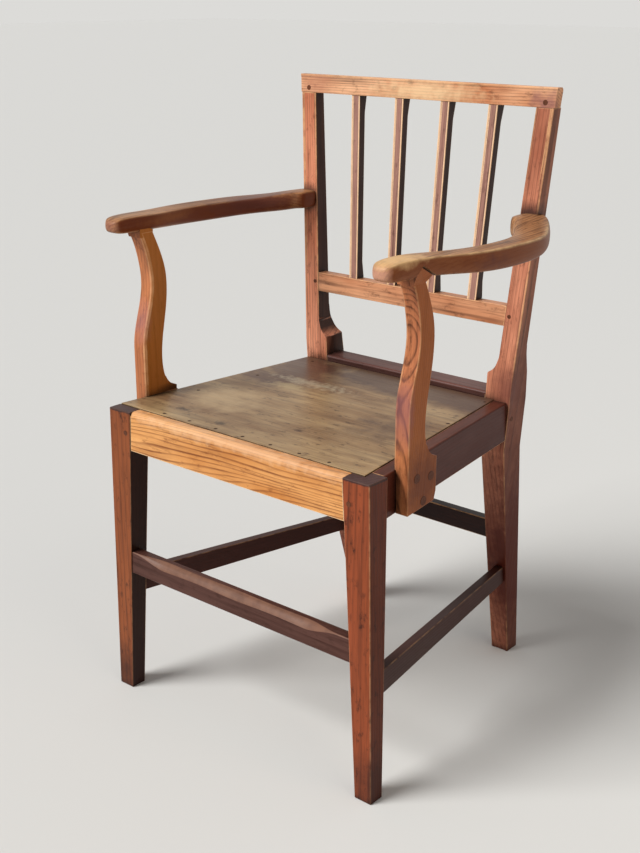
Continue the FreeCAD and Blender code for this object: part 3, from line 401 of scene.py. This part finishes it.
# Seat board: one wide elm board, rubbed dull and greenish brown, its grain from side to side
boardLook = {
    "grain": (1, 0.02, 0), "pith": (0, -60, 120), "ringGap": 9, "wander": 60,
    "base": "#B89B70", "second": "#785A3E", "dark": "#3B2618", "pale": "#B89A6C", "wear": (0, 0.15),
    "ring": 0.25, "streak": 0.4, "spots": 0.85, "patch": 1, "roughness": (0.32, 0.5), "wax": 0.25,
    "marks": [
        stainOrSheen((40, 120, 441), (320, 100, 20), "#4A3228", 0.85, core=0.5, ragged=1.2, grit=50),
        stainOrSheen((-150, 60, 441), (90, 110, 20), "#54362A", 0.8, core=0.5, ragged=1.6, grit=40),
        # the next two pale patches across the middle are a scratched streak with a painted sheen on it
        stainOrSheen((-85, 20, 441), (80, 18, 20), "#C8BA9C", 0.5, ragged=1.9, grit=9),
        stainOrSheen((-100, -10, 441), (46, 18, 20), "#BFA87C", 0.5, ragged=1.6, grit=12),
        stainOrSheen((-140, -185, 441), (18, 8, 20), "#2B1A12", 0.8, ragged=1.8, grit=6),
        stainOrSheen((-60, -195, 441), (12, 9, 20), "#2B1A12", 0.75, ragged=1.6, grit=6),
        stainOrSheen((40, -150, 441), (10, 6, 20), "#33201A", 0.7, ragged=1.6, grit=5),
        stainOrSheen((90, -60, 441), (26, 9, 20), "#4A3226", 0.6, ragged=1.8, grit=8),
        stainOrSheen((60, 60, 441), (30, 14, 20), "#4A3226", 0.5, ragged=1.8, grit=10),
        stainOrSheen((130, -60, 441), (60, 80, 20), "#5A4434", 0.7, ragged=1.6, grit=30),
        stainOrSheen((-20, -228, 441), (230, 9, 20), "#3A241A", 0.7, ragged=1.4, grit=20),
        stainOrSheen((-130, -120, 441), (70, 60, 20), "#B89E78", 0.6, ragged=1.6, grit=30),
    ],
}
wornPiece("seat_board", waxedWood("waxed elm board", **boardLook), 1.2)
print("seat board done")

# Stretchers at the sides and the back
stretchers = {
    "side_stretcher_left": {
        "grain": (-0.13, 1, -0.05), "pith": (230, 0, 60), "base": "#40221C", "second": "#2E1814",
        "wear": (0, 0.2)},
    "side_stretcher_right": {
        "grain": (0.13, 1, -0.05), "pith": (-230, 0, 60), "base": "#46221A", "second": "#301612",
        "wear": (0, 0.2)},
    "rear_stretcher": {
        "grain": (1, 0, 0), "pith": (0, 150, 170), "base": "#2A120E", "second": "#1C0B08"},
}
for node, look in stretchers.items():
    wornPiece(node, elm(node, look), 1.2)

# The front stretcher, its upper front arris worn away by feet. Sizes are in mm. The wear is full up to one
# distance from its middle and gone at the next, and "arris" is what the ends have lost.
bar = {"high": 226, "low": 192.5, "front": 1.5, "back": 18.5, "ends": 217, "steps": 36, "edge": 1,
       "wear": 9.5, "arris": 1.2, "sunk": 0.8, "middle": -6, "full": 130, "none": 190, "ripple": 23,
       "rubbedAbove": 212, "rubbed": 0.6}
barLook = {
    "grain": (1, 0, 0), "pith": (0, -330, 150), "base": "#583830", "second": "#40261F",
    "pale": "#9A7058", "wear": (0.5, 0.8), "streak": 0.6}
sections = []
for index in range(-bar["steps"], bar["steps"] + 1):
    x = bar["ends"] * index / bar["steps"]
    share = min(1, max(0, (bar["none"] - abs(x - bar["middle"])) / (bar["none"] - bar["full"])))
    worn = share * share * (3 - 2 * share) * (1 + 0.08 * cos(x / bar["ripple"]))
    deep = bar["arris"] + (bar["wear"] - bar["arris"]) * worn
    front, back, low = bar["front"] - half / mm, bar["back"] - half / mm, bar["low"]
    high = bar["high"] - bar["sunk"] * worn
    bulge = deep * 0.09
    edge = bar["edge"]
    sections.append([(x, y, z) for y, z in (
        (back - edge, bar["high"]), (back, bar["high"] - edge), (back, low + edge), (back - edge, low),
        (front + edge, low), (front, low + edge), (front, high - deep),
        (front + deep * 0.33 - bulge, high - deep * 0.67 + bulge),
        (front + deep * 0.67 - bulge, high - deep * 0.33 + bulge), (front + deep, high))])
shape = loft(sections)
wear = shape.loops.layers.float.new("wear")
for face in shape.faces:
    at = face.calc_center_median() / mm
    facet = face.normal.y < -0.2 and face.normal.z > 0.2
    for loop in face.loops:
        loop[wear] = bar["rubbed"] if facet and at.z > bar["rubbedAbove"] else 0
mesh = meshOf(shape, "front_stretcher_worn")
finish("front_stretcher_worn", mesh, elm("front_stretcher", barLook), ["front_stretcher"], 20)
print("stretchers done")

# The back: crest, lower rail and slats, with scratched lines beside their arrises
crest = {"bottom": 845.5, "top": 872, "line": 3.6, "rubbedBelow": 2, "rubbed": 0.5}


def onBackFront(at):
    return offFront(at) < 0.02 * mm


def nearCrestArris(at):
    z = at.z / mm
    nearEdge = z > crest["top"] - crest["line"] or z < crest["bottom"] + crest["rubbedBelow"]
    return crest["rubbed"] if offFront(at) < 0.4 * mm and nearEdge else 0


crestLines = [{"point": (0, 0, crest["top"] - crest["line"]), "normal": (0, 0, 1), "onFace": onBackFront}]
crestLook = {
    "grain": (1, 0, 0), "pith": (0, 100, 700), "base": "#F0BA90", "second": "#B4683E", "patch": 0.9,
    "ringGap": 4, "ring": 0.6, "marks": [
        stainOrSheen((205, 150, 852), (34, 20, 22), "#8A5A56", 0.8, ragged=1),
        stainOrSheen((-190, 150, 858), (50, 20, 30), "#B06E54", 0.6),
        # the last mark, a pale band across the middle of the front, is a painted highlight
        stainOrSheen((10, 150, 856), (120, 30, 22), "#F8D6A6", 0.6, ragged=1)]}
wornPiece("crest_rail", waxedWood("waxed elm crest", **crestLook), 1,
          lines=crestLines, alsoRubbed=nearCrestArris)
lowerLook = {
    "grain": (1, 0, 0), "pith": (0, 60, 520), "base": "#E6A87E", "second": "#A45C36", "patch": 0.85,
    "marks": [stainOrSheen((-186, 140, 560), (24, 20, 30), "#5E4240", 0.7, ragged=1)]}
wornPiece("lower_back_rail", waxedWood("waxed elm lower rail", **lowerLook), 1)

# Slats, all shifted a little to the sitter's left, their front 1 mm behind that of the stiles
slats = {"count": 4, "width": 15, "shift": 4.5, "inset": 1, "line": 2.6, "lineWide": 0.6, "rubbed": 0.9}
for number in range(slats["count"]):
    node = "back_slat_%d" % (number + 1)

    def centre(z):
        gaps = (postOuter(z) - stile["wide"]) * 2 - slats["count"] * slats["width"]
        step = slats["width"] + gaps / (slats["count"] + 1)
        return step * (number - (slats["count"] - 1) / 2) + slats["shift"]

    rise = (centre(800) - centre(600)) / 200
    across = Vector((1, 0, -rise))
    lineOut = slats["width"] / 2 - slats["line"]

    def onSlatFront(at):
        return offFront(at, slats["inset"]) < 0.1 * mm

    def nearSlatArris(at):
        outside = abs(at.x / mm - centre(at.z / mm)) > lineOut + 0.5
        return slats["rubbed"] if offFront(at, slats["inset"]) < 0.7 * mm and outside else 0

    lines = [{"point": (centre(0) + side * lineOut, 0, 0), "normal": across, "onFace": onSlatFront,
              "wide": slats["lineWide"]} for side in (-1, 1)]
    slatLook = {
        "grain": (rise, 0.06, 1), "pith": (centre(700) + 80, 200, 0), "base": "#AC8072",
        "second": "#8C6256", "pale": "#F6CDA4", "wear": (0.8, 1), "shady": ((1, 0, 0), 0.9, "#1E0C08")}
    wornPiece(node, elm(node, slatLook), 0.8, lines=lines, alsoRubbed=nearSlatArris)
print("back done")

# Arm supports
supports = {
    "arm_support_left": {
        "pith": (232, -110, 620), "base": "#C27A4C", "second": "#A25C42", "ring": 0.8, "ringGap": 3.5,
        "grain": (0, 0.1, 1), "shady": ((1, 0, 0), 0.75, "#96501A"), "wear": (0.1, 0.4), "marks": [
            stainOrSheen((243, -150, 420), (12, 60, 60), "#5E2C1A", 0.7),
            # a pinkish patch on the front face: painted sheen
            stainOrSheen((232, -182, 520), (30, 14, 60), "#8E5A5E", 0.5)]},
    "arm_support_right": {
        "pith": (-330, -230, 0), "base": "#C67C50", "second": "#A05A36", "wear": (0.2, 0.6),
        "shady": ((1, 0, 0), 0.75, "#A8651C"), "marks": [
            # a pinkish patch on the front face: painted sheen
            stainOrSheen((-232, -178, 560), (30, 16, 50), "#9A6A70", 0.45),
            stainOrSheen((-232, -130, 446), (30, 40, 10), "#2A130C", 0.8)]},
}
supportWood = {}
for node, look in supports.items():
    material = elm(node, look)
    supportWood[node.replace("support_", "")] = material
    wornPiece(node, material, 1.4, shortest=3)
print("arm supports done")

# Arms: sections from the nose round to the hook in front of the post. Each has its outer and its inner point
# in plan, as a share of the way to the post and a distance out, then its top and its bottom.
arms = {
    "arm_left": {"side": 1, "out": 220, "front": 10, "high": 704.5, "low": 681.5, "dip": 8.5},
    "arm_right": {"side": -1, "out": 220, "front": 25, "high": 700, "low": 678.5, "dip": 5},
}
armSection = [(0.84, 1), (0.93, 0.95), (0.985, 0.78), (1.05, 0.3), (1.07, -0.15), (1, -0.6), (0.84, -0.9),
              (0.6, -1), (0, -1.02), (-0.6, -1), (-0.86, -0.88), (-1, -0.5), (-1.04, 0), (-1, 0.6),
              (-0.9, 0.93), (-0.7, 1), (0, 1.04)]
# the nose: share of the way to the post, the outer and the inner distance out, how far its top and its
# bottom lie above those of the arm
noseStations = [(-0.012, 21, 10, -7, 6.5), (-0.004, 27, 4.5, -3.2, 3), (0.012, 31, 1.2, -0.8, 0.8),
                (0.04, 33.5, 0, 0.8, 0), (0.11, 37, 0, 1, 0)]
# the bow: share and distance of the outer point, the same of the inner one, shares of the dip of its top
# and its bottom
bowStations = [(0.2, 41, 0.18, 1, 0.05, 0.15), (0.31, 52, 0.27, 9, 0.35, 0.55),
               (0.44, 62, 0.38, 19.5, 0.55, 1.1), (0.6, 63, 0.49, 25, 0.75, 1.45),
               (0.73, 61.5, 0.6, 24, 0.9, 1.49), (0.8, 56.5, 0.68, 22, 1, 1.45),
               (0.87, 46, 0.75, 17, 1, 1.4), (0.93, 34, 0.8, 9.5, 0.7, 1.3),
               (1.0, 20, 0.85, -3, 0.15, 1.1)]
# the hook: the outer and the inner point, out and back from the outer front edge of the post, how far its
# top and its bottom lie above those of its first section, which stand off the arm's by shares of the dip
hookStations = [(3, 16, -11, -40, 0, 0), (-8, 14, -18, -36, 0, 0.5), (-22, 12, -22, -31, -0.5, 1),
                (-25, 9, -25, -27, -4, 4)]
hookShares = {"top": 0.3, "bottom": 0.6}
# rubbed along one point of the section, the upper outer edge, at these stations
armWear = {"point": 1, "stations": range(2, 13)}
# the hollow under the arm and the neck of the support that runs up into it: inside, outside, front and back
# in mm, and how far the ridge lies under the arm's top and the neck under the ridge. Only the left arm gets
# its hollow: on the right the block that should cut it is inside out, and the neck stands in solid wood.
hollow = {"bottom": (200, 275, 36, 112), "ridge": (216, 262, 61, 62), "low": 668, "below": 8}
neck = {"bottom": (220.3, 243.2, 61.5, 84), "top": (220.3, 253, 61.5, 86), "low": 670, "below": 1.5}


def corners(edges, frontHigh, backHigh):
    inside, outside, front, back = edges
    return [(inside, front, frontHigh), (outside, front, frontHigh), (inside, back, backHigh),
            (outside, back, backHigh)]


def block(name, side, bottom, upper):
    # eight corners: each list goes from the inside out at the front, then again at the back. On the right the
    # faces stay turned inwards, because their normals are still those from before the corners were moved.
    shape = bmesh.new()
    for vert in bmesh.ops.create_cube(shape, size=1)["verts"]:
        places = upper if vert.co.z > 0 else bottom
        x, y, z = places[(vert.co.x > 0) + 2 * (vert.co.y > 0)]
        vert.co = Vector((x * side, y - half / mm, z)) * mm
    bmesh.ops.recalc_face_normals(shape, faces=shape.faces)
    made = bpy.data.objects.new(name, meshOf(shape, name))
    scene.collection.objects.link(made)
    return made


def armPiece(node, arm, material):
    side, front, dip = arm["side"], arm["front"], arm["dip"]
    postX, postY = postOuter(arm["high"]), stileFront(arm["high"])

    def at(share, out):
        return Vector((arm["out"] + (postX - arm["out"]) * share + out, front + (postY - front) * share))

    stations = [(at(share, out), at(share, inn), arm["high"] + lift, arm["low"] + rise)
                for share, out, inn, lift, rise in noseStations]
    stations += [(at(outShare, out), at(inShare, inn), arm["high"] - dip * sag, arm["low"] - dip * lowSag)
                 for outShare, out, inShare, inn, sag, lowSag in bowStations]
    high, low = arm["high"] + dip * hookShares["top"], arm["low"] - dip * hookShares["bottom"]
    stations += [(Vector((postX + outX, postY + outY)), Vector((postX + inX, postY + inY)),
                  high + lift, low + rise) for outX, outY, inX, inY, lift, rise in hookStations]
    sections = []
    for outer, inner, top, bottom in stations:
        middle, reach = (outer + inner) / 2, (outer - inner) / 2
        flat = [(middle + reach * across, up) for across, up in armSection]
        sections.append([(at.x * side, at.y - half / mm, (top + bottom) / 2 + (top - bottom) / 2 * up)
                         for at, up in flat])
    shape = loft(sections)
    wear = shape.verts.layers.float.new("wear")
    for number, vert in enumerate(shape.verts):
        station, point = divmod(number, len(armSection))
        if point == armWear["point"] and station in armWear["stations"]:
            vert[wear] = 1
    smoothed = bpy.data.objects.new(node + "_smooth", meshOf(shape, node + "_smooth"))
    scene.collection.objects.link(smoothed)
    smooth = smoothed.modifiers.new("Smooth", "SUBSURF")
    smooth.levels = smooth.render_levels = 2
    # the left arm's underside is hollowed to a ridge over the front of the support
    ridge = arm["high"] - hollow["below"]
    roof = block(node + "_roof", side, corners(hollow["bottom"], hollow["low"], hollow["low"]),
                 corners(hollow["ridge"], ridge, ridge))
    carve = smoothed.modifiers.new("Hollow", "BOOLEAN")
    carve.operation = "DIFFERENCE"
    carve.solver = "EXACT"
    carve.object = roof
    bpy.context.view_layer.update()
    mesh = bpy.data.meshes.new_from_object(smoothed.evaluated_get(bpy.context.evaluated_depsgraph_get()))
    mesh.name = node + "_carved"
    for scrap in (roof, smoothed):
        bpy.data.objects.remove(scrap)
    finish(node + "_carved", mesh, material, [node], 42, False)
    # the top of the support runs up into the arm, its back sloped as the left arm's hollow is
    neckHigh = ridge - neck["below"]
    hollowBack, ridgeBack, neckBack = hollow["bottom"][3], hollow["ridge"][3], neck["top"][3]
    backHigh = neckHigh - (ridge - hollow["low"]) * (neckBack - ridgeBack) / (hollowBack - ridgeBack)
    top = block(node + "_neck", side, corners(neck["bottom"], neck["low"], neck["low"]),
                corners(neck["top"], neckHigh, backHigh))
    top.data.materials.append(supportWood[node])
    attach(top, "root")


armLook = {
    "grain": (-0.05, 1, 0.01), "base": "#BE8A5E", "second": "#80502F", "patch": 0.85, "ring": 0.6,
    "dark": "#35190F", "ringGap": 4.5, "streak": 0.7, "pale": "#E8C08C", "wear": (0.3, 0.8)}
leftMarks = [
    stainOrSheen((236, -237, 690), (26, 12, 20), "#D39A80", 0.7),
    stainOrSheen((238, -205, 706), (36, 54, 12), "#F0C48A", 0.7, ragged=1),
    stainOrSheen((284, -70, 684), (16, 60, 16), "#5E3226", 0.75, ragged=1.2),
    stainOrSheen((262, 60, 680), (40, 60, 16), "#7A4426", 0.6, ragged=1),
    stainOrSheen((190, 130, 690), (20, 26, 24), "#3E241C", 0.8, ragged=0.8),
]
rightMarks = [
    stainOrSheen((-236, -225, 690), (26, 14, 20), "#8E5A4C", 0.7),
    stainOrSheen((-230, -120, 690), (30, 70, 10), "#8A4F22", 0.6, ragged=1),
    stainOrSheen((-230, 60, 690), (70, 110, 30), "#5A2E24", 0.85, ragged=1),
]
armPiece("arm_left", arms["arm_left"],
         waxedWood("waxed elm, left arm", pith=(300, 0, 640), marks=leftMarks,
                   shady=((1, 0, -0.15), 0.85, "#743812"), **armLook))
armPiece("arm_right", arms["arm_right"],
         waxedWood("waxed elm, right arm", pith=(-200, 0, 620), marks=rightMarks,
                   shady=((1, 0, 0), 0.95, "#642A0C"), **armLook))
print("arms done")

# Pegs and plugs: end grain, darkened by wax
pegWood = waxedWood("waxed oak end grain", base="#6E3E26", second="#4A2A1C", grain=(0, 1, 0), pith=(3, 0, 5),
                    ringGap=1.6, wander=3)
plugWood = waxedWood("waxed oak plug", base="#6A3A22", second="#472619", grain=(1, 0, 0), pith=(0, -160, 410),
                     ringGap=2, wander=3)
for node in nodes:
    if "plugs" in node or "side_rail_peg" in node:
        for slot in nodes[node].material_slots:
            slot.material = plugWood
    elif node.endswith("_pegs"):
        for slot in nodes[node].material_slots:
            slot.material = pegWood

# Nails: hand-cut iron, rusted dark, with grains of rust some 1 mm wide
rustSize = 10 / 9
nailIron = bpy.data.materials.new("rusted wrought iron")
nailIron.use_nodes = True
tree = nailIron.node_tree
shader = tree.nodes["Principled BSDF"]
coords = addNode(tree, "ShaderNodeTexCoord").outputs["Object"]
grit = addNode(tree, "ShaderNodeTexNoise", {"Scale": 1 / (rustSize * mm), "Detail": 4},
               {"Vector": coords}).outputs["Fac"]
rust = addNode(tree, "ShaderNodeMix", {6: linear("#3A2A20"), 7: linear("#5C4030")}, {0: grit},
               data_type="RGBA")
tree.links.new(rust.outputs[2], shader.inputs["Base Color"])
shader.inputs["Metallic"].default_value = 0.6
shader.inputs["Roughness"].default_value = 0.6
for slot in nodes["seat_nails"].material_slots:
    slot.material = nailIron
print("pegs and nails done")

# Pale floor, dull as paper, and soft studio light
bpy.ops.mesh.primitive_plane_add(size=60)
floor = bpy.context.object
floor.name = "Floor"
paper = bpy.data.materials.new("pale paper floor")
paper.use_nodes = True
paper.node_tree.nodes["Principled BSDF"].inputs["Base Color"].default_value = linear("#D9D8D4")
paper.node_tree.nodes["Principled BSDF"].inputs["Roughness"].default_value = 0.9
floor.data.materials.append(paper)
world = bpy.data.worlds.new("World")
scene.world = world
world.use_nodes = True
tree = world.node_tree
ambient = tree.nodes["Background"]
ambient.inputs["Color"].default_value = linear("#F3F3F6")
ambient.inputs["Strength"].default_value = 0.3
# the camera, reflections and glass see the backdrop, and all else is lit by the dimmer ambient light
backdrop = addNode(tree, "ShaderNodeBackground", {"Color": linear("#DCDBD8"), "Strength": 1})
rays = addNode(tree, "ShaderNodeLightPath").outputs
seen = rays["Is Camera Ray"]
for kind in ("Is Glossy Ray", "Is Transmission Ray"):
    seen = addNode(tree, "ShaderNodeMath", {}, {0: seen, 1: rays[kind]}, operation="MAXIMUM").outputs[0]
shown = addNode(tree, "ShaderNodeMixShader", {},
                {0: seen, 1: ambient.outputs[0], 2: backdrop.outputs[0]})
tree.links.new(shown.outputs[0], tree.nodes["World Output"].inputs["Surface"])

# A weak warm lamp on the camera's right, and a broad sun from its left, above and a little behind it
fill = {"place": (2.4, -0.4, 1.9), "aim": (0, 0, 0.6), "watts": 12, "size": 1.8, "colour": (1, 0.88, 0.72)}
lamp = bpy.data.lights.new("Fill", "AREA")
lamp.energy = fill["watts"]
lamp.size = fill["size"]
lamp.color = fill["colour"]
lampPiece = bpy.data.objects.new("Fill", lamp)
lampPiece.location = fill["place"]
lampPiece.rotation_euler = (Vector(fill["aim"]) - Vector(fill["place"])).to_track_quat("-Z", "Y").to_euler()
lampPiece.visible_glossy = False
scene.collection.objects.link(lampPiece)
sun = bpy.data.lights.new("Key", "SUN")
sun.energy = 3.3
sun.angle = radians(30)
key = bpy.data.objects.new("Key", sun)
key.rotation_euler = Vector((0.5, 0.92, -0.95)).to_track_quat("-Z", "Y").to_euler()
scene.collection.objects.link(key)
print("stage done")
